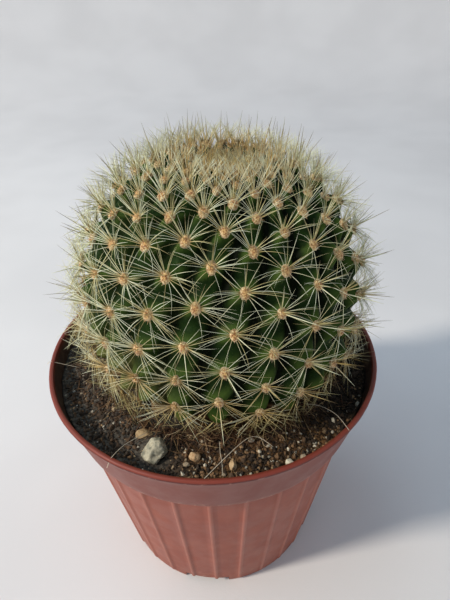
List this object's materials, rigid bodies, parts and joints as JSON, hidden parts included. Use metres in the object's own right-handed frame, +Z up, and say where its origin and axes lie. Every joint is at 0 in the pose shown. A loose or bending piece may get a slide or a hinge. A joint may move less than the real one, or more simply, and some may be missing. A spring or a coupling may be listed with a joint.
{
  "type": "potted matucana haynei cactus",
  "caption": "Globular ribbed cactus with spined areoles and a dense crown, growing in soil with small stones in a tapered, ribbed plastic nursery pot.",
  "frame": {"origin": "middle of the pot's foot ring, on the surface that the pot stands on", "axes": "+Z up along the pot's axis; -Y towards the side the picture looks from; +X to the right in that view"},
  "size_m": [0.1216, 0.12, 0.1769],
  "materials": {
    "pot_plastic": "satin moulded terracotta-brown plastic, slightly scuffed",
    "soil": "loose dark peat with sand and grit",
    "cactus_skin": "waxy green skin with felted tan areoles and pale spines",
    "pale_stone": "rough pale grit",
    "tan_stone": "rough tan grit"
  },
  "bodies": {
    "root": {"pot": "pot_plastic", "soil": "soil", "cactus": "cactus_skin", "stone_pale_grey": "pale_stone", "stone_tan": "tan_stone", "stone_sand": "tan_stone", "stone_cream": "pale_stone", "stone_white": "pale_stone"}
  },
  "joints": []
}
